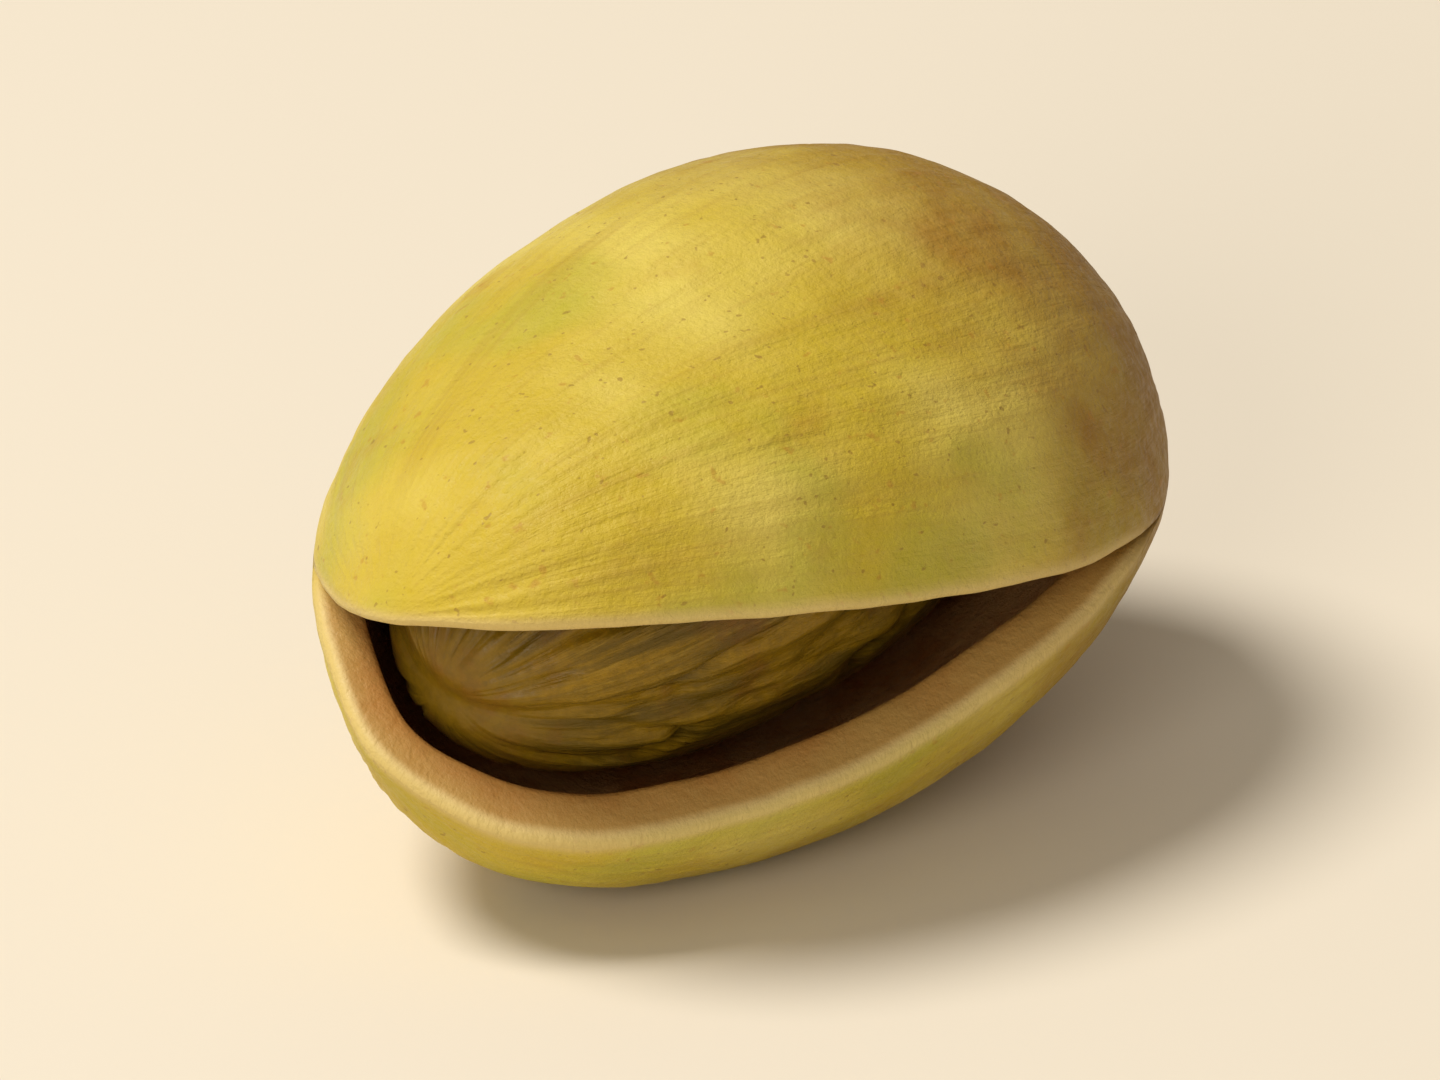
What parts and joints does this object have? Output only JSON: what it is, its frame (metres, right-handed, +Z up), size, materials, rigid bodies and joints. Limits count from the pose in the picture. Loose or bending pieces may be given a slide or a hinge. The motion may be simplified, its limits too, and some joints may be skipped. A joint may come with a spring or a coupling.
{
  "type": "pistachio in shell",
  "caption": "Roasted pistachio: an egg-shaped split shell, joined at the stem end and along the back, with its loose kernel showing in the gaping mouth.",
  "frame": {"origin": "middle of the bounding box at the level of the flat spot that the nut rests on", "axes": "+X along the nut towards its stem end, -Y towards the gaping side, +Z up from the flat spot"},
  "size_m": [0.02, 0.014, 0.0128],
  "materials": {
    "shell": "matte, dry, faintly veined",
    "kernel": "satin, thin wrinkled skin"
  },
  "bodies": {
    "root": {"shell": "shell", "kernel": "kernel"}
  },
  "joints": []
}
